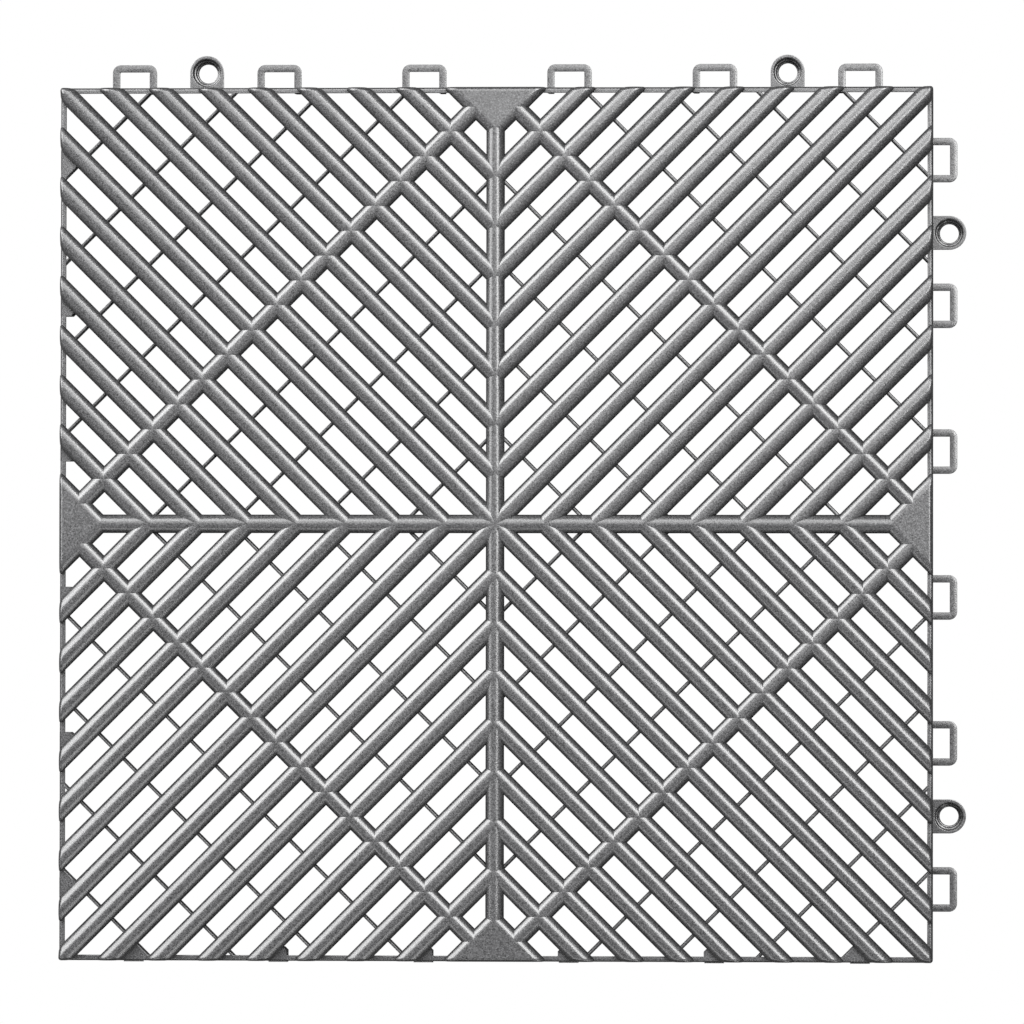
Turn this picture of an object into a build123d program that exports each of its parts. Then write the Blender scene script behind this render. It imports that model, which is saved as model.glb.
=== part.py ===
"""Interlocking drainage tile: one injection-moulded open floor tile, lying flat, feet on z = 0.

Four mirrored quadrants of round-topped ribs run at 45 degrees into two central bars. A diamond of
cross ribs and thin, lower webs tie them together, and a low rail closes the edge. The two far
sides carry loops and screw eyelets at floor level. The two near sides carry the tabs that snap
down into the loops of the next tile. The origin is the centre of the tile on the floor, and
lengths are in millimetres.
"""
import os
from math import atan, cos, degrees, radians, sin, sqrt

from build123d import *

# Overall size of the square tile, without its loops and eyelets.
tile_side = 400.0
tile_height = 19.0
leg_height = 8.5          # clear height under the lattice, for water and for the next tile's loops
corner_radius = 2.0

# Round-topped ribs: the crown turns by crown_angle to each side of the crest, in a few flat sides.
rib_width = 8.5
rib_pitch = 16.06         # square across the ribs
ribs_beside_diagonal = 8  # on each side of the quadrant's own diagonal rib
crown_angle = 60.0
crown_sides = 5
rib_draft = 0.5           # each flank leans in by this much from the crown down to the underside

# Thin webs square across the ribs, counted from the cross rib on the quadrant's other diagonal.
web_thickness = 1.7
web_pitch = 27.79
webs_beside_cross_rib = 4
web_top = 14.0
web_draft = 0.3

# Low rail all round, and the flat plate in the middle of each edge.
rail_width = 2.6
rail_top = 14.0
rail_draft = 0.5          # on its inner wall
plate_drop = 0.1          # the plate lies this much under the crests of the ribs that frame it

# Feet under the crossings of ribs and webs, kept clear of the edge strip where loops lie.
foot_side = 5.0
foot_margin = 20.0

# Connectors along a side: loops on the far sides, tabs on the near sides.
connectors_per_side = 6
loop_width = 20.4
loop_reach = 11.0
loop_strip = 3.4
loop_thickness = 7.0
loop_corner_cut = 2.0
tab_width = 9.0
tab_depth = 6.3
tab_foot = 1.0            # the tab's lower end stands this far above the floor
tab_lip_reach = 0.8
tab_lip_top = 4.0
catch_clearance = 0.4     # between the tab's lip and the notch that it snaps into

# Screw eyelets on the far sides, each in the middle between two loops.
eyelet_reach = 7.3
eyelet_radius = 7.8
eyelet_thickness = 8.0
eyelet_bore_radius = 4.4
eyelet_counterbore_radius = 6.3
eyelet_counterbore_depth = 5.0

half_side = tile_side / 2
rib_step = rib_pitch * sqrt(2)      # spacing of the ribs along an edge or a bar
web_step = web_pitch * sqrt(2)      # spacing of the webs along an edge or a bar

# Upright planes square across the bars of the quadrant x, y > 0.
section_of_ribs = Plane(origin=(0, 0, 0), x_dir=(-1, 1, 0), z_dir=(1, 1, 0))
section_of_cross_rib = Plane(origin=(half_side / 2, half_side / 2, 0), x_dir=(1, 1, 0), z_dir=(1, -1, 0))
section_of_bar_along_x = Plane(origin=(0, 0, 0), x_dir=(0, 1, 0), z_dir=(1, 0, 0))
section_of_bar_along_y = Plane(origin=(0, 0, 0), x_dir=(-1, 0, 0), z_dir=(0, 1, 0))

# Section of every bar, drawn upright about its own middle line, with its crest at tile_height. The
# crown's sides touch the arc that it stands for, so the middle side is the flat crest.
crown_radius = rib_width / 2 / sin(radians(crown_angle))
crown_centre = tile_height - crown_radius
side_angle = 2 * crown_angle / crown_sides
corner_distance = crown_radius / cos(radians(side_angle / 2))
crown_corners = [
    (corner_distance * sin(radians(angle)), crown_centre + corner_distance * cos(radians(angle)))
    for angle in [side_angle * (k - crown_sides / 2 + 1) for k in range(crown_sides - 1)]
]
shoulder_height = crown_centre + crown_radius * cos(radians(crown_angle))
with BuildSketch() as rib_section:
    with BuildLine():
        Polyline(
            (rib_draft - rib_width / 2, leg_height),
            (-rib_width / 2, shoulder_height),
            *crown_corners,
            (rib_width / 2, shoulder_height),
            (rib_width / 2 - rib_draft, leg_height),
            close=True,
        )
    make_face()

# Section of a web, drawn the same way.
with BuildSketch() as web_section:
    with BuildLine():
        Polyline(
            (web_draft - web_thickness / 2, leg_height),
            (-web_thickness / 2, web_top),
            (web_thickness / 2, web_top),
            (web_thickness / 2 - web_draft, leg_height),
            close=True,
        )
    make_face()

# The rail, a low ring round the tile, upright outside and leaning inside.
with BuildPart() as rail:
    with BuildSketch(Plane.XY.offset(leg_height)):
        RectangleRounded(tile_side, tile_side, corner_radius)
    extrude(amount=rail_top - leg_height)
    with BuildSketch(Plane.XY.offset(rail_top)):
        Rectangle(tile_side - 2 * rail_width, tile_side - 2 * rail_width)
    rail_lean = degrees(atan(rail_draft / (rail_top - leg_height)))
    extrude(amount=leg_height - rail_top, taper=-rail_lean, mode=Mode.SUBTRACT)

# The bounds of one quadrant: square at the middle lines, and rounded at the tile's corner.
with BuildPart() as quadrant_bounds:
    Box(half_side, half_side, tile_height, align=(Align.MIN, Align.MIN, Align.MIN))
    fillet(quadrant_bounds.edges().filter_by(Axis.Z).sort_by_distance((0, 0, 0))[-1], corner_radius)

# One quadrant: the ribs, the cross rib and half of both central bars, then the webs between
# them, half of the plates in the middle of two edges, and the rail.
rib_places = [(k * rib_pitch, 0) for k in range(-ribs_beside_diagonal, ribs_beside_diagonal + 1)]
web_places = [(side * k * web_pitch, 0) for side in (-1, 1) for k in range(1, webs_beside_cross_rib + 1)]
plate_reach = half_side - ribs_beside_diagonal * rib_step
with BuildPart() as quadrant:
    with BuildSketch(section_of_ribs):
        with Locations(*rib_places):
            add(rib_section.sketch)
    extrude(amount=tile_side)
    with BuildSketch(section_of_cross_rib):
        add(rib_section.sketch)
    extrude(amount=tile_side, both=True)
    with BuildSketch(section_of_bar_along_y):
        add(rib_section.sketch)
    extrude(amount=tile_side)
    with BuildSketch(section_of_bar_along_x):
        add(rib_section.sketch)
    extrude(amount=tile_side)
    with BuildSketch(section_of_cross_rib):
        with Locations(*web_places):
            add(web_section.sketch)
    extrude(amount=tile_side, both=True)
    with BuildSketch(Plane.XY.offset(leg_height)):
        Polygon((0, half_side), (0, half_side - plate_reach), (plate_reach, half_side), align=None)
        Polygon((half_side, 0), (half_side, plate_reach), (half_side - plate_reach, 0), align=None)
    extrude(amount=tile_height - plate_drop - leg_height)
    add(rail.part)
    add(quadrant_bounds.part, mode=Mode.INTERSECT)
print("quadrant:", len(quadrant.faces()), "faces, valid", quadrant.part.is_valid)

# One far side, built on the edge towards +Y: loops and screw eyelets, on roots that tie them to
# the rail and leave the water a way out between them. A notch under each loop's root takes the
# lip of the next tile's tab.
connector_pitch = tile_side / connectors_per_side
connector_places = [(k + 0.5) * connector_pitch - half_side for k in range(connectors_per_side)]
eyelet_places = [-2 * connector_pitch, 2 * connector_pitch]
with BuildPart() as far_side:
    with BuildSketch():
        with Locations(*[(x, half_side - rail_width / 2) for x in connector_places]):
            Rectangle(loop_width, rail_width)
        with Locations(*[(x, half_side - rail_width / 2) for x in eyelet_places]):
            Rectangle(2 * eyelet_radius, rail_width)
    extrude(amount=leg_height)
    with BuildSketch() as loops:
        with Locations(*[(x, half_side + loop_reach / 2) for x in connector_places]):
            Rectangle(loop_width, loop_reach)
        chamfer(loops.vertices().group_by(Axis.Y)[-1], loop_corner_cut)
        with Locations(*[(x, half_side + (loop_reach - loop_strip) / 2) for x in connector_places]):
            Rectangle(loop_width - 2 * loop_strip, loop_reach - loop_strip, mode=Mode.SUBTRACT)
    extrude(amount=loop_thickness)
    with BuildSketch():
        with Locations(*[(x, half_side + eyelet_reach) for x in eyelet_places]):
            Circle(eyelet_radius)
        with Locations(*[(x, half_side + eyelet_reach / 2) for x in eyelet_places]):
            Rectangle(2 * eyelet_radius, eyelet_reach)
    extrude(amount=eyelet_thickness)
    with Locations(*[(x, half_side + eyelet_reach, eyelet_thickness) for x in eyelet_places]):
        CounterBoreHole(eyelet_bore_radius, eyelet_counterbore_radius, eyelet_counterbore_depth, eyelet_thickness)
    with BuildSketch():
        with Locations(*[(x, half_side) for x in connector_places]):
            Rectangle(tab_width + 2 * catch_clearance, 2 * (tab_lip_reach + catch_clearance))
    extrude(amount=tab_lip_top + catch_clearance, mode=Mode.SUBTRACT)
print("far side:", len(far_side.faces()), "faces, valid", far_side.part.is_valid)

# One near side, built on the edge towards -Y: the tabs, seen in section along the edge. Each lip
# stands out past the edge, with a slope that leads it into the next tile's loop. Beside each
# outermost tab a plate fills the corner between the rail, the last web and a rib.
last_web = half_side + webs_beside_cross_rib * web_step
with BuildPart() as near_side:
    with BuildSketch(Plane.XY.offset(leg_height)):
        for side in (-1, 1):
            Polygon(
                (side * (last_web - half_side), -half_side),
                (side * (half_side - rib_step), -half_side),
                (side * (last_web - rib_step) / 2, -(last_web + rib_step) / 2),
                align=None,
            )
    extrude(amount=rail_top - leg_height)
    for x in connector_places:
        with BuildSketch(Plane(origin=(x - tab_width / 2, -half_side, 0), x_dir=(0, 1, 0), z_dir=(1, 0, 0))):
            with BuildLine():
                Polyline(
                    (0, rail_top),
                    (tab_depth, rail_top),
                    (tab_depth, tab_foot),
                    (tab_lip_reach, tab_foot),
                    (-tab_lip_reach, tab_foot + 2 * tab_lip_reach),
                    (-tab_lip_reach, tab_lip_top),
                    (0, tab_lip_top),
                    close=True,
                )
            make_face()
        extrude(amount=tab_width)
print("near side:", len(near_side.faces()), "faces, valid", near_side.part.is_valid)

# Feet under every fourth rib where it crosses every second web, and one under the tile's centre.
foot_places = []
for across in range(4 - ribs_beside_diagonal, ribs_beside_diagonal, 4):
    for along in range(1 - webs_beside_cross_rib, webs_beside_cross_rib, 2):
        x = (half_side + along * web_step + across * rib_step) / 2
        y = (half_side + along * web_step - across * rib_step) / 2
        if min(x, y) > foot_margin and max(x, y) < half_side - foot_margin:
            foot_places.append((x, y))
with BuildPart() as drainage_tile:
    add(quadrant.part)
    with BuildSketch():
        with Locations(*foot_places):
            Rectangle(foot_side, foot_side, rotation=45)
    extrude(amount=leg_height)
    mirror(about=Plane.YZ)
    mirror(about=Plane.XZ)
    with BuildSketch():
        Rectangle(rib_width, rib_width)
    extrude(amount=leg_height)
    print("lattice:", len(drainage_tile.faces()), "faces, valid", drainage_tile.part.is_valid)
    add(far_side.part)
    add(far_side.part.rotate(Axis.Z, -90))
    add(near_side.part)
    add(near_side.part.rotate(Axis.Z, -90))
print("tile:", len(drainage_tile.faces()), "faces, valid", drainage_tile.part.is_valid)
print("solids", len(drainage_tile.solids()), "volume", drainage_tile.part.volume)

drainage_tile.part.label = "drainage_tile"
os.makedirs("parts", exist_ok=True)
export_step(drainage_tile.part, "parts/drainage_tile.step")
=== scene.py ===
"""The looks of the interlocking drainage tile, in metres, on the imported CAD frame."""
import math

import bpy
import numpy as np
from mathutils import Matrix, Vector


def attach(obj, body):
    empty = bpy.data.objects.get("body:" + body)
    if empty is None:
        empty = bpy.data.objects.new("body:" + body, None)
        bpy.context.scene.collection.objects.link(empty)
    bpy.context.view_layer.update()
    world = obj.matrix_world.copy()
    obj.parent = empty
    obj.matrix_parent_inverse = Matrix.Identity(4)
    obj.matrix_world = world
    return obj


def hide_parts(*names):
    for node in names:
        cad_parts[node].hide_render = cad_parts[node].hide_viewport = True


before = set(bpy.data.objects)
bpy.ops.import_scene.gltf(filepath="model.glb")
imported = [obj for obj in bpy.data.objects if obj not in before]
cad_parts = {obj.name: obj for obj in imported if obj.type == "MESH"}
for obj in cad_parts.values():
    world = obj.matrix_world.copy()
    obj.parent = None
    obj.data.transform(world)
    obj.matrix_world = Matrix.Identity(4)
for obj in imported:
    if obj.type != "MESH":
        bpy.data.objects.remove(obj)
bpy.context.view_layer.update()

# Ribs.
# The ribs are round-topped bars of hard moulded plastic, hollow underneath on the real tile. Each
# runs in from one edge at 45 degrees, turns on the tile's middle line, and runs out to the next
# edge, so one chevron of it is carried along a bent path. Its ends are rounded over.
MM = 0.001
HALF = 200.0
TOP, FLOOR_GAP = 18.98, 8.5
RIB_HALF = 4.25
RIB_STEP = 16.06 * math.sqrt(2)
CROWN_R, CROWN_TURN = 4.8, math.radians(55)
SHOULDER_R = (RIB_HALF - CROWN_R * math.sin(CROWN_TURN)) / (1 - math.sin(CROWN_TURN))
DRAFT = 0.5
END_ROUND, END_STEPS = 1.8, 5


def crown_profile(inset=0.0, crown_steps=9, shoulder_steps=5):
    """Points (w, z) of a rib's section, from its lower left corner over the crest to the right.

    Right half: the crown is (R sin a, T - R + R cos a) for a in 0..A; the shoulder is an arc of
    radius r that carries on from it to a = 90 degrees, and the flank leans in down to z = gap. An
    inset takes the same amount off R, off r and off the half width.
    """
    a = np.linspace(0, CROWN_TURN, crown_steps + 1)
    b = np.linspace(CROWN_TURN, math.pi / 2, shoulder_steps + 1)[1:]
    middle = np.array([0, TOP - CROWN_R])
    crown = middle + (CROWN_R - inset) * np.stack([np.sin(a), np.cos(a)], 1)
    way = np.array([math.sin(CROWN_TURN), math.cos(CROWN_TURN)])
    centre = middle + (CROWN_R - SHOULDER_R) * way
    shoulder = centre + (SHOULDER_R - inset) * np.stack([np.sin(b), np.cos(b)], 1)
    right = np.concatenate([crown, shoulder, [[RIB_HALF - inset - DRAFT, FLOOR_GAP]]])
    return np.concatenate([right[:0:-1] * [-1, 1], right])


def end_rings(profile, radius, steps):
    """Pairs (depth behind the end plane, profile) of a rounded end, from the end plane inward.

    At turn f in 0..90 degrees the depth is r (1 - cos f) and the profile's inset is r (1 - sin f).
    """
    if radius == 0:
        return [(0.0, profile())]
    turns = np.linspace(0, math.pi / 2, steps + 1)
    return [(radius * (1 - math.cos(f)), profile(radius * (1 - math.sin(f)))) for f in turns]


def bar_grid(path, profile, end_normals, radius=0.0, steps=END_STEPS, corner=None):
    """Points of a bar (stations, profile points, 3) in millimetres, and the leg after each station.

    At a bend, point (w, z) lies at P + M w, with the mitre M = (n1 + n2) / (1 + n1.n2). At an end it
    lies at P + n w + D t, where t = -(n w . E + depth) / (D . E) puts it at a depth behind the
    plane through P with the outward normal E, and D is the way out along the bar.
    """
    path = np.asarray(path, float)
    step = np.diff(path, axis=0)
    step /= np.linalg.norm(step, axis=1)[:, None]
    normal = np.stack([-step[:, 1], step[:, 0]], 1)
    rows, legs = [], []
    for end in (0, -1):
        n, d = (normal[0], -step[0]) if end == 0 else (normal[-1], step[-1])
        group = []
        for depth, section in end_rings(profile, radius, steps):
            w, z = section[:, 0], section[:, 1]
            side = w[:, None] * n
            if corner is not None:
                slide = corner(w) - depth * math.sqrt(2)
            else:
                e = np.asarray(end_normals[end], float)
                slide = -(side @ e + depth) / (d @ e)
            group.append(np.column_stack([path[end] + side + slide[:, None] * d, z]))
        if end == 0:
            rows, legs = group, [0] * len(group)
            for i in range(1, len(path) - 1):
                across = (normal[i - 1] + normal[i]) / (1 + normal[i - 1] @ normal[i])
                section = profile()
                rows.append(np.column_stack([path[i] + section[:, :1] * across, section[:, 1]]))
                legs.append(i)
        else:
            rows += group[::-1]
            legs += [len(path) - 2] * len(group)
    return np.array(rows), legs


def shell_faces(legs, count):
    """Quads between stations round a profile that is mirrored about its middle, and its caps' strips.

    Quad (i, j) joins points j and j + 1 of stations i and i + 1. Strip a of a cap joins points a and
    a + 1 to the points that mirror them. The second list gives each face the leg of its first
    station; the caps belong to the end legs.
    """
    stations = len(legs)
    i, j = np.meshgrid(np.arange(stations - 1), np.arange(count), indexing="ij")
    k = (j + 1) % count
    quads = np.stack([i * count + j, i * count + k, (i + 1) * count + k, (i + 1) * count + j], -1)
    faces = quads.reshape(-1, 4).tolist()
    face_legs = np.asarray(legs)[i.ravel()].tolist()
    last = (stations - 1) * count
    for a in range(count // 2):
        b = count - 1 - a
        ring = [a, a + 1, b - 1, b] if b - 1 > a + 1 else [a, a + 1, b]
        faces += [ring[::-1], [last + p for p in ring]]
        face_legs += [legs[0], legs[-1]]
    return faces, face_legs


def solid(name, parts):
    """One closed mesh object from several shells, each a triple (points in mm, faces, run numbers).

    Faces are turned outward where a shell's signed volume, the sum of p0.(p1 x p2) / 6, is negative.
    """
    points, faces, runs = [], [], []
    for xyz, polygons, run in parts:
        xyz = np.asarray(xyz, float).reshape(-1, 3)
        tri = np.array([[q[0], q[n], q[n + 1]] for q in polygons for n in range(1, len(q) - 1)])
        a, b, c = (xyz[tri[:, n]] for n in range(3))
        inward = np.einsum("ij,ij->", a - xyz.mean(0), np.cross(b - xyz.mean(0), c - xyz.mean(0))) < 0
        base = sum(len(p) for p in points)
        faces += [[base + v for v in (q[::-1] if inward else q)] for q in polygons]
        points.append(xyz)
        runs += list(run)
    mesh = bpy.data.meshes.new(name)
    mesh.from_pydata((np.concatenate(points) * MM).tolist(), [], faces)
    mesh.attributes.new("run", "INT", "FACE").data.foreach_set("value", np.array(runs, np.int32))
    piece = bpy.data.objects.new(name, mesh)
    bpy.context.scene.collection.objects.link(piece)
    return piece


run_numbers = iter(range(1, 100000))


def carried(path, profile, end_normals=None, **kw):
    """A shell for solid(): the profile carried along a path, each leg with a run number of its own."""
    grid, legs = bar_grid(path, profile, end_normals, **kw)
    faces, face_legs = shell_faces(legs, grid.shape[1])
    numbers = [next(run_numbers) for _ in range(len(path) - 1)]
    return grid, faces, [numbers[n] for n in face_legs]


def ring_quads(rows, count):
    """Quads of a grid that closes on itself both ways: (i, j), (i, j+1), (i+1, j+1), (i+1, j)."""
    i, j = np.meshgrid(np.arange(rows), np.arange(count), indexing="ij")
    i2, j2 = (i + 1) % rows, (j + 1) % count
    corners = (i * count + j, i * count + j2, i2 * count + j2, i2 * count + j)
    return np.stack(corners, -1).reshape(-1, 4).tolist()


def quarter_turns(xy, turns):
    """The points turned about the origin by a number of quarter turns: (x, y) becomes (-y, x)."""
    xy = np.asarray(xy, float)
    for _ in range(turns % 4):
        xy = np.stack([-xy[..., 1], xy[..., 0]], -1)
    return xy


chevrons = []
for turn in range(4):
    for k in range(1, 9):
        c = k * RIB_STEP
        path = quarter_turns([(HALF, HALF - c), (c, 0), (HALF, c - HALF)], turn)
        edge = quarter_turns([(1, 0)], turn)[0]
        chevrons.append(carried(path, crown_profile, (edge, edge), radius=END_ROUND))
ribs = solid("ribs", chevrons)

TILE_CORNER = 1.3


def corner_reach(w, radius=TILE_CORNER):
    """How far the diagonal rib reaches past the tile's sharp corner, at an offset w from its middle.

    It is -|w|, and within r / sqrt 2 of the middle the rounded corner's arc, sqrt(r^2 - w^2) - r sqrt 2.
    """
    arc = -radius * math.sqrt(2) + np.sqrt(np.clip(radius ** 2 - w ** 2, 0, None))
    return np.where(np.abs(w) < radius / math.sqrt(2), arc, -np.abs(w))


diagonals = []
for n, slope in ((1, 1), (2, -1)):
    path = [(-HALF, -HALF * slope), (HALF, HALF * slope)]
    shell = carried(path, crown_profile, corner=corner_reach, radius=END_ROUND)
    diagonals.append(solid("diagonal_rib_%d" % n, [shell]))

# Cross ribs and middle bars.
# Four bars of the same section make the diamond that joins the middles of the edges, and two more
# run along the tile's middle lines. They are moulded in one with the ribs, crest to crest.
cross_ribs = []
for pair in range(2):
    shells = []
    for turn in (pair, pair + 2):
        path = quarter_turns([(0, HALF), (HALF, 0)], turn)
        ends = quarter_turns([(0, 1), (1, 0)], turn)
        shells.append(carried(path, crown_profile, ends, radius=END_ROUND))
    cross_ribs.append(solid("cross_ribs_%d" % (pair + 1), shells))
middle_bars = []
for n, (x, y) in enumerate(((1, 0), (0, 1))):
    path = [(-HALF * x, -HALF * y), (HALF * x, HALF * y)]
    shell = carried(path, crown_profile, ((-x, -y), (x, y)), radius=END_ROUND)
    middle_bars.append(solid("middle_bar_" + "xy"[n], [shell]))

# Webs.
# Thin walls cross the ribs at right angles, well below the crests, and stiffen the lattice. They
# are moulded with it, with slightly rounded top edges. The inner four of each quarter close into
# diamonds, and the outer four run from edge to edge.
WEB_STEP = 27.79 * math.sqrt(2)
WEB_HALF, WEB_GAP, WEB_TOP = 0.5, 8.53, 13.98
WEB_EASE, WEB_LEAN = 0.15, 0.4
WEB_END = HALF - 1.2


def square_profile(half, low, high, rounding, draft=0.0, steps=3):
    """A bar's section with rounded upper corners, and sides that lean in by the draft.

    Right half: (h - r + r sin a, top - r + r cos a) for a in 0..90 degrees, then (h - draft, low).
    """
    a = np.radians(np.linspace(0, 90, steps + 1))
    arc = np.stack([half - rounding + rounding * np.sin(a), high - rounding + rounding * np.cos(a)], 1)
    right = np.concatenate([arc, [[half - draft, low]]])
    return np.concatenate([right[::-1] * [-1, 1], right])


def web_profile():
    """A web's section: a narrow flat top with eased edges, on sides that lean out downwards."""
    return square_profile(WEB_HALF, WEB_GAP, WEB_TOP, WEB_EASE, draft=-WEB_LEAN)


webs = []
for turn in range(4):
    for k in range(1, 5):
        reach = HALF + k * WEB_STEP
        path = quarter_turns([(reach - WEB_END, WEB_END), (WEB_END, reach - WEB_END)], turn)
        webs.append(carried(path, web_profile, quarter_turns([(0, 1), (1, 0)], turn)))
w, z = web_profile().T
diamond = np.array([(1, 0), (0, 1), (-1, 0), (0, -1)], float)
for k in range(1, 5):
    reach = HALF - k * WEB_STEP + math.sqrt(2) * w
    corners = diamond[:, None, :] * reach[None, :, None]
    grid = np.concatenate([corners, np.broadcast_to(z, (4, len(z)))[..., None]], -1)
    numbers = [next(run_numbers) for _ in range(4)]
    webs.append((grid, ring_quads(4, len(z)), np.repeat(numbers, len(z))))
webs = solid("webs", webs)

# Rail and plates.
# A low rail ties the ribs' ends together all round the tile, and its outer edge is rounded. A flat
# triangular plate fills the middle of each edge, level with the crests. All one moulding.
def rounded_square(half, radius, per_corner=6):
    """Points of a square of half-side h with rounded corners, anticlockwise from the +X side.

    One corner is (h - r + r cos a, h - r + r sin a) for a in 0..90 degrees, and it is turned four times.
    """
    a = np.radians(np.linspace(0, 90, per_corner))
    corner = np.stack([half - radius + radius * np.cos(a), half - radius + radius * np.sin(a)], 1)
    return np.concatenate([quarter_turns(corner, t) for t in range(4)])


# The rail stands 6 micrometres proud of the ribs' ends and the plates 12, so no two faces coincide.
RAIL_TOP, RAIL_GAP, RAIL_ROUND = 14.0, 8.515, 1.2
PROUD = 0.006
quarter = np.linspace(0, math.pi / 2, 7)
outer = np.stack([RAIL_ROUND * (1 - np.cos(quarter)), RAIL_TOP - RAIL_ROUND * (1 - np.sin(quarter))], 1)
inner = [
    (RAIL_ROUND + 0.1, RAIL_TOP), (2.2, RAIL_TOP), (2.3, RAIL_TOP), (2.5, RAIL_TOP - 0.1),
    (2.6, RAIL_TOP - 0.3), (2.1, RAIL_GAP),
]
rail_section = np.concatenate([[(0, RAIL_GAP)], outer, inner])
rings = []
for inset, z in rail_section:
    xy = rounded_square(HALF + PROUD - inset, max(TILE_CORNER - inset, 0.05))
    rings.append(np.column_stack([xy, np.full(len(xy), z)]))
grid = np.array(rings)
rail_faces = ring_quads(*grid.shape[:2])
rail = solid("rail", [(grid, rail_faces, [next(run_numbers)] * len(rail_faces))])

PLATE_TOP, PLATE_GAP, PLATE_TIP = 19.0, 8.54, 0.2
PLATE_REACH = HALF - 8 * RIB_STEP


def plate_strip():
    """Pairs of points (x, y, z) across a plate, from its foot over the rounded edge to its tip.

    At a depth d behind the edge the plate reaches from x = d - R to R - d, and never less than its
    tip. The rounded edge is an arc: depth r (1 - cos a), height T - r (1 - sin a).
    """
    depth = np.concatenate([[0], END_ROUND * (1 - np.cos(quarter)), [END_ROUND + 0.15, PLATE_REACH]])
    arc = PLATE_TOP - END_ROUND * (1 - np.sin(quarter))
    z = np.concatenate([[PLATE_GAP], arc, [PLATE_TOP, PLATE_TOP, PLATE_GAP]])
    half = np.append(np.maximum(PLATE_REACH - depth, PLATE_TIP), PLATE_TIP)
    y = np.append(HALF + 2 * PROUD - depth, HALF - PLATE_REACH)
    return np.stack([np.column_stack([-half, y, z]), np.column_stack([half, y, z])], 1)


plate_shells = []
strip = plate_strip()
rows = np.arange(len(strip))
onward = np.roll(rows, -1)
plate_faces = np.stack([2 * rows, 2 * rows + 1, 2 * onward + 1, 2 * onward], 1).tolist()
plate_faces += [(2 * rows).tolist(), (2 * rows + 1)[::-1].tolist()]
for turn in range(4):
    grid = np.concatenate([quarter_turns(strip[..., :2], turn), strip[..., 2:]], -1)
    runs = [next(run_numbers)] * len(rows) + [next(run_numbers), next(run_numbers)]
    plate_shells.append((grid, plate_faces, runs))
plates = solid("edge_plates", plate_shells)

# Feet.
# Short square feet carry the lattice above the floor, so that water runs off underneath. They
# hang under the crossings of ribs and webs and are moulded with them; their lower rims are rounded.
def turned_square(place, half, turn):
    """The corners of a square about a place, its sides turned by an angle in degrees.

    Corner n is the place + h sqrt 2 (cos a, sin a), with a = 90 n + 45 + the angle.
    """
    a = np.radians(np.arange(4) * 90 + 45 + turn)
    return np.asarray(place) + half * math.sqrt(2) * np.stack([np.cos(a), np.sin(a)], 1)


def stacked(rings):
    """A closed shell through rings of equal count, each an array (points, 3), with flat caps.

    Quad (i, j) joins points j and j + 1 of rings i and i + 1.
    """
    grid = np.array(rings)
    rows, count = grid.shape[:2]
    i, j = np.meshgrid(np.arange(rows - 1), np.arange(count), indexing="ij")
    j2 = (j + 1) % count
    faces = np.stack([i * count + j, i * count + j2, (i + 1) * count + j2, (i + 1) * count + j], -1)
    faces = faces.reshape(-1, 4).tolist()
    faces += [list(range(count))[::-1], list(range((rows - 1) * count, rows * count))]
    return grid, faces, [next(run_numbers)] * len(faces)


FOOT_MARGIN, FOOT_HALF, FOOT_ROOT = 20.0, 2.5, 8.9
foot_places = []
for across in (-4, 0, 4):
    for along in (-3, -1, 1, 3):
        u = (HALF + along * WEB_STEP + across * RIB_STEP) / 2
        v = (HALF + along * WEB_STEP - across * RIB_STEP) / 2
        if min(u, v) > FOOT_MARGIN and max(u, v) < HALF - FOOT_MARGIN:
            foot_places += [(u, v), (-v, u), (-u, -v), (v, -u)]
feet = []
for place, half, turn in [(p, FOOT_HALF, 45) for p in foot_places] + [((0, 0), RIB_HALF, 0)]:
    rings = []
    for inset, z in ((0.45, 0.0), (0.12, 0.13), (0.0, 0.45), (0.0, FOOT_ROOT)):
        xy = turned_square(place, half - inset, turn)
        rings.append(np.column_stack([xy, np.full(4, z)]))
    feet.append(stacked(rings))
feet = solid("feet", feet)

# Loops and eyelets.
# The two far sides carry flat loops at floor level, which the next tile's tabs snap into, and
# eyelets with a stepped hole for a screw. All are moulded with the tile, on roots under the rail.
LOOP_OUT, LOOP_REACH, LOOP_STRIP, LOOP_TOP = 10.2, 11.0, 3.4, 7.0
EYELET_R, EYELET_OUT, EYELET_ROOT, EYELET_TOP = 7.77, 7.3, 9.5, 8.0
LIP_R, LIP_ROUND = 6.8, 0.5
PITCH = 2 * HALF / 6
loop_places = [(k + 0.5) * PITCH - HALF for k in range(6)]
eyelet_places = [-2 * PITCH, 2 * PITCH]


def far_edge(xy, turned):
    """Points given for the back edge, turned a quarter clockwise for the right-hand edge if asked."""
    return quarter_turns(xy, 3 if turned else 0)


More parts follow.
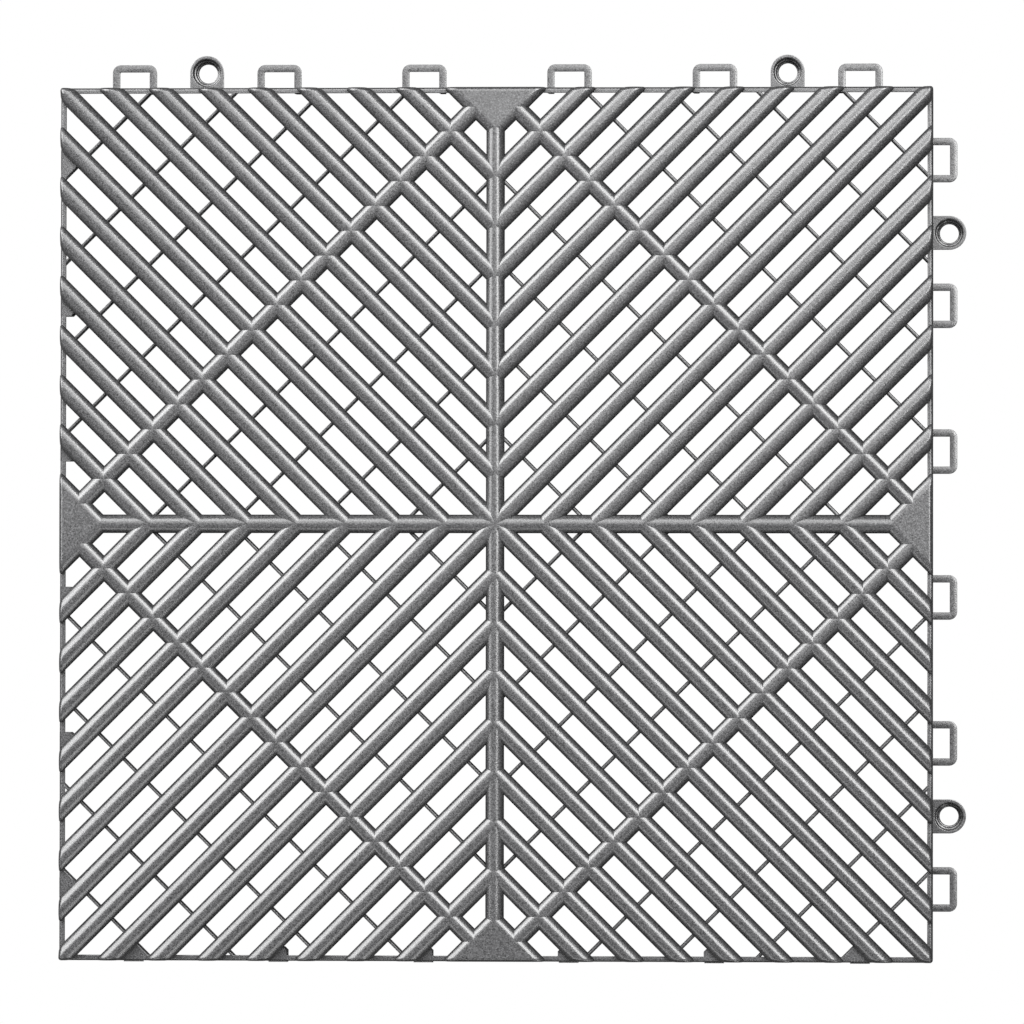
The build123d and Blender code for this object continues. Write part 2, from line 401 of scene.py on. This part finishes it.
def loop_shell(x, turned, inner_radius=0.25, arc_steps=7):
    """A U-shaped strip: its section is carried so that the inner edge turns on a small arc.

    Section point (t, z) at a station lies at C + (r0 + t) (cos a, sin a), with C the centre of the
    corner's arc, and on the legs at the same offset from a point that slides along them.
    """
    r0 = inner_radius
    cx, cy = LOOP_OUT - LOOP_STRIP - r0, HALF + LOOP_REACH - LOOP_STRIP - r0
    start = HALF - 2.2
    stations = [((cx, start), 0.0)]
    stations += [((cx, cy), a) for a in np.radians(np.linspace(0, 90, arc_steps))]
    stations += [((-cx, cy), a) for a in np.radians(np.linspace(90, 180, arc_steps))]
    stations += [((-cx, start), math.pi)]
    section = square_profile(LOOP_STRIP / 2, 0.0, LOOP_TOP, 0.25, draft=0.6)
    t, z = section[:, 0] + LOOP_STRIP / 2 + r0, section[:, 1]
    rows = []
    for (px, py), a in stations:
        flat = np.stack([x + px + t * math.cos(a), py + t * math.sin(a)], 1)
        rows.append(np.column_stack([far_edge(flat, turned), z]))
    faces, _ = shell_faces([0] * len(rows), len(section))
    return np.array(rows), faces, [next(run_numbers)] * len(faces)


def eyelet_shell(x, turned, steps=96):
    """An eyelet as closed rings, a function of the angle a and the ring's number.

    The outline is D-shaped: r(a) = R above the middle, min(R / |cos a|, D / |sin a|) below it. The
    mouth's rounded lip and the counterbore's two drafted steps down to the hole are circles.
    """
    a = np.arange(steps) * 2 * math.pi / steps
    f = np.linspace(0, math.pi / 2, 6)
    lip = np.stack([LIP_R - LIP_ROUND * np.sin(f), EYELET_TOP - LIP_ROUND * (1 - np.cos(f))], 1)
    mouth = np.concatenate([[(LIP_R + 0.1, EYELET_TOP)], lip])
    steps_down = [
        (6.0, 4.6), (5.9, 4.47), (5.5, 4.4), (5.35, 4.3), (5.05, 1.95), (4.95, 1.82), (4.65, 1.75),
        (4.5, 1.65), (4.3, 0.0),
    ]
    rings = []
    for inset, drop in ((0.6, EYELET_TOP), (0.0, 0.25), (0.07, 0.07), (0.25, 0.0), (0.33, 0.0)):
        wide, deep = EYELET_R - inset, EYELET_ROOT - inset
        corner = deep / np.maximum(np.abs(np.sin(a)), 1e-6)
        below = np.minimum(wide / np.maximum(np.abs(np.cos(a)), 1e-6), corner)
        rings.append((np.where(np.sin(a) >= 0, wide, below), EYELET_TOP - drop))
    rings += [(np.full(steps, r), z) for r, z in np.concatenate([mouth, steps_down])]
    rows = []
    for r, z in rings:
        flat = np.stack([x + r * np.cos(a), HALF + EYELET_OUT + r * np.sin(a)], 1)
        rows.append(np.column_stack([far_edge(flat, turned), np.full(steps, z)]))
    faces = ring_quads(len(rows), steps)
    return np.array(rows), faces, [next(run_numbers)] * len(faces)


def block(x0, x1, y0, y1, z0, z1, turn, lean=0.0):
    """A block between two corners, turned by quarter turns. Its side at y0 has its foot at y0 + lean."""
    rings = []
    for z, y in ((z0, y0 + lean), (z1, y0)):
        flat = quarter_turns([(x0, y), (x1, y), (x1, y1), (x0, y1)], turn)
        rings.append(np.column_stack([flat, np.full(4, z)]))
    return stacked(rings)


loops = solid("loops", [loop_shell(x, t) for t in (False, True) for x in loop_places])
eyelets = solid("eyelets", [eyelet_shell(x, t) for t in (False, True) for x in eyelet_places])

# The roots stand on the floor under the rail, and a notch in each loop's root takes the next tile's lip.
ROOT_IN, ROOT_OUT, ROOT_TOP, ROOT_LEAN = HALF - 2.05, HALF - 0.02, 8.8, 0.9
EYELET_ROOT_HALF, NOTCH_HALF, NOTCH_DEPTH, NOTCH_TOP = 7.2, 4.9, 1.2, 4.4
roots, notches = [], []
for turn in (0, 3):
    for x, half in [(x, LOOP_OUT) for x in loop_places] + [(x, EYELET_ROOT_HALF) for x in eyelet_places]:
        roots.append(block(x - half, x + half, ROOT_IN, ROOT_OUT, 0.0, ROOT_TOP, turn, lean=ROOT_LEAN))
for turn in (0, 3):
    for x in loop_places:
        left, right = x - NOTCH_HALF, x + NOTCH_HALF
        notches.append(block(left, right, HALF - NOTCH_DEPTH, HALF + NOTCH_DEPTH, -1.0, NOTCH_TOP, turn))
roots = solid("roots", roots)
notches = solid("catch_notches", notches)

# Tabs.
# The two near sides carry the tabs that snap down into the next tile's loops: a plate at the
# rail's level, a leg down to the floor, and a lip with a lead-in slope that shows past the edge.
TAB_HALF, TAB_CORNER, TAB_TOP, TAB_DEPTH = 4.5, 1.5, 13.99, 6.3


def tab_shell(x, turn):
    """A tab by its section along the edge, pulled across its width.

    Its inner corners are cut off by the same amount both ways, so the inner wall stands back by
    the cut at both sides, and the other points stay.
    """
    section = np.array([
        (0.6, TAB_TOP), (TAB_DEPTH, TAB_TOP), (TAB_DEPTH, 1.0), (0.8, 1.0),
        (-0.8, 2.6), (-0.8, 4.0), (0.0, 4.4), (0.0, TAB_TOP - 0.59),
    ])
    inner = section[:, 0] == TAB_DEPTH
    straight = TAB_HALF - TAB_CORNER
    rows = []
    for side, cut in ((-TAB_HALF, TAB_CORNER), (-straight, 0.0), (straight, 0.0), (TAB_HALF, TAB_CORNER)):
        flat = np.stack([np.full(len(section), x + side), -HALF + section[:, 0] - cut * inner], 1)
        rows.append(np.column_stack([quarter_turns(flat, turn), section[:, 1]]))
    return stacked(rows)


tabs = solid("tabs", [tab_shell(x, turn) for turn in (0, 3) for x in loop_places])

# A small plate fills the corner between the rail, a rib and the last web, beside each outermost tab.
last_web = HALF + 4 * WEB_STEP
GUSSET_EDGE, GUSSET_GAP, GUSSET_TOP = HALF - 0.7, 8.56, 13.97
gussets = []
for turn in (0, 3):
    for side in (-1, 1):
        flat = [
            (side * (last_web - HALF), -GUSSET_EDGE),
            (side * (HALF - RIB_STEP), -GUSSET_EDGE),
            (side * (last_web - RIB_STEP) / 2, -(last_web + RIB_STEP) / 2),
        ]
        flat = quarter_turns(flat, turn)
        gussets.append(stacked([np.column_stack([flat, np.full(3, z)]) for z in (GUSSET_GAP, GUSSET_TOP)]))
gussets = solid("corner_plates", gussets)

# One moulding.
# On the real tile all of this is a single injection moulding, so the pieces are fused into one
# skin. Faces of one bar stay smooth together, and every crease where two of them meet stays crisp.
tile = ribs
tile.name = tile.data.name = "moulded_tile"
lattice = diagonals + cross_ribs + middle_bars + [webs, rail, plates, gussets, feet, roots]
fused = [(piece, "UNION") for piece in lattice]
fused += [(notches, "DIFFERENCE")]
fused += [(piece, "UNION") for piece in (loops, eyelets, tabs)]
for other, operation in fused:
    step = tile.modifiers.new(other.name, "BOOLEAN")
    step.operation, step.solver, step.object = operation, "MANIFOLD", other
mesh = bpy.data.meshes.new_from_object(tile.evaluated_get(bpy.context.evaluated_depsgraph_get()))
mesh.name = "moulded_tile"
tile.modifiers.clear()
tile.data = mesh
for other, _ in fused:
    bpy.data.objects.remove(other)

# The skin is closed, so each edge has two faces, found by sorting the face corners by their edge. An
# edge is sharp where its faces bend widely, or bend at all and belong to two different bars.
SHARP_BEND, CREASE_BEND = 24, 0.5
edge_of = np.empty(len(mesh.loops), np.int32)
mesh.loops.foreach_get("edge_index", edge_of)
size = np.empty(len(mesh.polygons), np.int32)
mesh.polygons.foreach_get("loop_total", size)
face_of = np.repeat(np.arange(len(size)), size)
normal = np.empty(len(size) * 3, np.float32)
mesh.polygons.foreach_get("normal", normal)
normal = normal.reshape(-1, 3)
run = np.empty(len(size), np.int32)
mesh.attributes["run"].data.foreach_get("value", run)
order = np.argsort(edge_of, kind="stable")
first, second = face_of[order[0::2]], face_of[order[1::2]]
bend = np.degrees(np.arccos(np.clip(np.einsum("ij,ij->i", normal[first], normal[second]), -1, 1)))
sharp = (bend > SHARP_BEND) | ((run[first] != run[second]) & (bend > CREASE_BEND))
mesh.attributes.new("sharp_edge", "BOOLEAN", "EDGE").data.foreach_set("value", sharp)
mesh.attributes.remove(mesh.attributes["run"])
mesh.polygons.foreach_set("use_smooth", np.ones(len(size), bool))
mesh.update()
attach(tile, "root")
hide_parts("drainage_tile")

# Plastic.
# Grey polypropylene, moulded in an etched cavity: a fine pearly grain with darker and lighter
# flecks in it, and a half-gloss that breaks into soft streaks along the crests. The steep sides
# get painted shade: their colour is darkened, as little light reaches down between the ribs.
def grain_and_painted_shade():
    """The grain and painted shade group: puts out a colour multiplier, a roughness and a bumped normal.

    Tint And Painted Shade = (1 + contrast x fine noise) x broad noise x a smooth step of the
    surface's upward lean, which is 1 on level faces and Flank Shade on steep ones: painted shade on
    the steep sides. The roughness is its base + 0.12 x fine noise, and the bump's height is fine
    noise + the distance to the nearest fleck.
    """
    group = bpy.data.node_groups.new("grain_and_painted_shade", "ShaderNodeTree")
    face = group.interface
    face.new_socket("Coordinates", in_out="INPUT", socket_type="NodeSocketVector")
    face.new_socket("Surface Normal", in_out="INPUT", socket_type="NodeSocketVector")
    for name in (
        "Grain Scale", "Cloud Scale", "Grain Contrast", "Flank Shade", "Bump Strength", "Roughness",
    ):
        face.new_socket(name, in_out="INPUT", socket_type="NodeSocketFloat")
    for name, kind in (("Tint", "Color"), ("Roughness", "Float"), ("Normal", "Vector")):
        face.new_socket(name, in_out="OUTPUT", socket_type="NodeSocket" + kind)
    nodes, links = group.nodes, group.links
    inputs, outputs = nodes.new("NodeGroupInput"), nodes.new("NodeGroupOutput")
    grain, cloud = nodes.new("ShaderNodeTexNoise"), nodes.new("ShaderNodeTexNoise")
    flecks = nodes.new("ShaderNodeTexVoronoi")
    grain.inputs["Detail"].default_value = 2.0
    grain.inputs["Roughness"].default_value = 0.55
    cloud.inputs["Detail"].default_value = 4.0
    for texture in (grain, cloud, flecks):
        links.new(inputs.outputs["Coordinates"], texture.inputs["Vector"])
    links.new(inputs.outputs["Grain Scale"], grain.inputs["Scale"])
    links.new(inputs.outputs["Grain Scale"], flecks.inputs["Scale"])
    links.new(inputs.outputs["Cloud Scale"], cloud.inputs["Scale"])
    fine, broad = nodes.new("ShaderNodeMapRange"), nodes.new("ShaderNodeMapRange")
    for spread, low, high in ((fine, -1.0, 1.0), (broad, 0.94, 1.06)):
        spread.inputs["From Min"].default_value = 0.3
        spread.inputs["From Max"].default_value = 0.7
        spread.inputs["To Min"].default_value = low
        spread.inputs["To Max"].default_value = high
    contrast = nodes.new("ShaderNodeMath")
    contrast.operation = "MULTIPLY_ADD"
    contrast.inputs[2].default_value = 1.0
    links.new(fine.outputs["Result"], contrast.inputs[0])
    links.new(inputs.outputs["Grain Contrast"], contrast.inputs[1])
    # Painted shade: the colour of steep faces is darkened by their upward lean, where less light reaches
    # down between the ribs.
    part, slope = nodes.new("ShaderNodeSeparateXYZ"), nodes.new("ShaderNodeMapRange")
    slope.interpolation_type = "SMOOTHSTEP"
    slope.inputs["From Min"].default_value = 0.578
    slope.inputs["From Max"].default_value = 1.0
    slope.inputs["To Max"].default_value = 1.0
    links.new(inputs.outputs["Surface Normal"], part.inputs["Vector"])
    links.new(part.outputs["Z"], slope.inputs["Value"])
    links.new(inputs.outputs["Flank Shade"], slope.inputs["To Min"])
    links.new(grain.outputs["Fac"], fine.inputs["Value"])
    links.new(cloud.outputs["Fac"], broad.inputs["Value"])
    both = nodes.new("ShaderNodeMath")
    both.operation = "MULTIPLY"
    links.new(contrast.outputs["Value"], both.inputs[0])
    links.new(broad.outputs["Result"], both.inputs[1])
    shaded = nodes.new("ShaderNodeMath")
    shaded.operation = "MULTIPLY"
    links.new(both.outputs["Value"], shaded.inputs[0])
    links.new(slope.outputs["Result"], shaded.inputs[1])
    links.new(shaded.outputs["Value"], outputs.inputs["Tint"])
    rough = nodes.new("ShaderNodeMath")
    rough.operation = "MULTIPLY_ADD"
    rough.inputs[1].default_value = 0.12
    links.new(grain.outputs["Fac"], rough.inputs[0])
    links.new(inputs.outputs["Roughness"], rough.inputs[2])
    links.new(rough.outputs["Value"], outputs.inputs["Roughness"])
    height = nodes.new("ShaderNodeMath")
    height.operation = "ADD"
    links.new(grain.outputs["Fac"], height.inputs[0])
    links.new(flecks.outputs["Distance"], height.inputs[1])
    bump = nodes.new("ShaderNodeBump")
    bump.inputs["Distance"].default_value = 0.00006
    links.new(inputs.outputs["Bump Strength"], bump.inputs["Strength"])
    links.new(height.outputs["Value"], bump.inputs["Height"])
    links.new(bump.outputs["Normal"], outputs.inputs["Normal"])
    return group


plastic = bpy.data.materials.new("tile_plastic")
plastic.use_nodes = True
nodes, links = plastic.node_tree.nodes, plastic.node_tree.links
shader = nodes["Principled BSDF"]
shader.inputs["IOR"].default_value = 1.49
place, texture = nodes.new("ShaderNodeTexCoord"), nodes.new("ShaderNodeGroup")
texture.node_tree = grain_and_painted_shade()
# Flank Shade sets the painted shade: steep sides keep 35% of the colour.
for name, value in (
    ("Grain Scale", 1500.0), ("Cloud Scale", 45.0), ("Grain Contrast", 0.65), ("Flank Shade", 0.35),
    ("Bump Strength", 0.35), ("Roughness", 0.2),
):
    texture.inputs[name].default_value = value
links.new(place.outputs["Object"], texture.inputs["Coordinates"])
links.new(place.outputs["Normal"], texture.inputs["Surface Normal"])
colour = nodes.new("ShaderNodeMix")
colour.data_type, colour.blend_type = "RGBA", "MULTIPLY"
colour.inputs["Factor"].default_value = 1.0
colour.inputs["A"].default_value = (0.036, 0.036, 0.037, 1.0)
links.new(texture.outputs["Tint"], colour.inputs["B"])
links.new(colour.outputs["Result"], shader.inputs["Base Color"])
links.new(texture.outputs["Roughness"], shader.inputs["Roughness"])
links.new(texture.outputs["Normal"], shader.inputs["Normal"])
tile.data.materials.clear()
tile.data.materials.append(plastic)

# Floor.
# A plain white table under the tile, as in the photograph, where the gaps and the background are
# white. To the camera it is white, and the light that it throws back on the tile is dim.
TABLE_SPAN, TABLE_LEVEL = 6.0, -0.0002
ticks = np.linspace(-TABLE_SPAN / 2, TABLE_SPAN / 2, 5)
gx, gy = np.meshgrid(ticks, ticks)
points = np.column_stack([gx.ravel(), gy.ravel(), np.full(gx.size, TABLE_LEVEL)])
squares = len(ticks) - 1
i, j = np.meshgrid(np.arange(squares), np.arange(squares), indexing="ij")
first = i * len(ticks) + j
above = first + len(ticks)
quads = np.stack([first, first + 1, above + 1, above], -1).reshape(-1, 4)
table = bpy.data.meshes.new("table")
table.from_pydata(points.tolist(), [], quads.tolist())
table_piece = bpy.data.objects.new("table", table)
bpy.context.scene.collection.objects.link(table_piece)
white = bpy.data.materials.new("white_table")
white.use_nodes = True
nodes, links = white.node_tree.nodes, white.node_tree.links
matte = nodes["Principled BSDF"]
matte.inputs["Base Color"].default_value = (0.06, 0.06, 0.06, 1.0)
matte.inputs["Roughness"].default_value = 0.9
glow = nodes.new("ShaderNodeEmission")
glow.inputs["Color"].default_value = (1.0, 1.0, 1.0, 1.0)
glow.inputs["Strength"].default_value = 1.0
path, mix = nodes.new("ShaderNodeLightPath"), nodes.new("ShaderNodeMixShader")
links.new(path.outputs["Is Camera Ray"], mix.inputs["Fac"])
links.new(matte.outputs["BSDF"], mix.inputs[1])
links.new(glow.outputs["Emission"], mix.inputs[2])
links.new(mix.outputs["Shader"], nodes["Material Output"].inputs["Surface"])
table.materials.append(white)

# Light.
# Six soft panels hang round the camera, as over a product table: bright ones to the left, the
# right and the back, one overhead, and two faint ones in front. The room is white to the camera and
# gives the tile little light of its own.
stand = Vector((0.225369, -0.067622, 4.0))


def panel(name, slope, width, depth, power, distance=2.5):
    """A rectangular light, set where a surface of the slope (x, y) mirrors it to the camera.

    The surface's normal is N = (x, y, 1) / |(x, y, 1)|, and V is the way to the camera. The light
    stands along L = 2 (N.V) N - V, at a distance, and faces back along L. Its width runs along X
    as far as L allows, and its depth square to both.
    """
    normal = Vector((slope[0], slope[1], 1.0)).normalized()
    view = stand.normalized()
    way = 2 * normal.dot(view) * normal - view
    wide = (Vector((1.0, 0.0, 0.0)) - way.x * way).normalized()
    data = bpy.data.lights.new(name, "AREA")
    data.shape, data.size, data.size_y, data.energy = "RECTANGLE", width, depth, power
    light = bpy.data.objects.new(name, data)
    axes = Matrix((wide, way.cross(wide), way)).transposed().to_4x4()
    light.matrix_world = Matrix.Translation(way * distance) @ axes
    light.visible_camera = False
    bpy.context.scene.collection.objects.link(light)


panel("panel_right", (0.237, 0.176), 0.76, 2.05, 108.0)
panel("panel_back", (-0.2, 0.371), 1.89, 1.06, 60.3)
panel("panel_left", (-0.451, 0.274), 1.72, 2.36, 172.5)
panel("panel_front_left", (-0.215, -0.506), 2.03, 0.4, 16.9)
panel("panel_front_right", (0.283, -0.561), 0.4, 2.4, 26.6)
panel("panel_overhead", (0.048, 0.211), 1.43, 1.58, 45.8)
world = bpy.context.scene.world or bpy.data.worlds.new("studio")
bpy.context.scene.world = world
world.use_nodes = True
nodes, links = world.node_tree.nodes, world.node_tree.links
sky = nodes["Background"]
sky.inputs["Color"].default_value = (1.0, 1.0, 1.0, 1.0)
ROOM_LIGHT = 0.03
seen, dim = nodes.new("ShaderNodeLightPath"), nodes.new("ShaderNodeMapRange")
dim.inputs["To Min"].default_value = ROOM_LIGHT
links.new(seen.outputs["Is Camera Ray"], dim.inputs["Value"])
links.new(dim.outputs["Result"], sky.inputs["Strength"])

# Camera.
# It looks down on the tile from four metres, almost straight above, through a long lens. Its place
# and its turn were fitted to the photograph's straight edges and loops.
forward = Vector((-0.054631, 0.018347, -1.0)).normalized()
right = forward.cross(Vector((-0.00147, 1.0, 0.0))).normalized()
up = right.cross(forward)
lens = bpy.data.cameras.new("camera")
lens.sensor_width, lens.lens = 36.0, 306.86
lens.clip_start, lens.clip_end = 0.5, 20.0
camera = bpy.data.objects.new("camera", lens)
axes = Matrix((right, up, -forward)).transposed().to_4x4()
camera.matrix_world = Matrix.Translation(stand) @ axes
bpy.context.scene.collection.objects.link(camera)
bpy.context.scene.camera = camera
bpy.context.scene.view_settings.view_transform = "Standard"
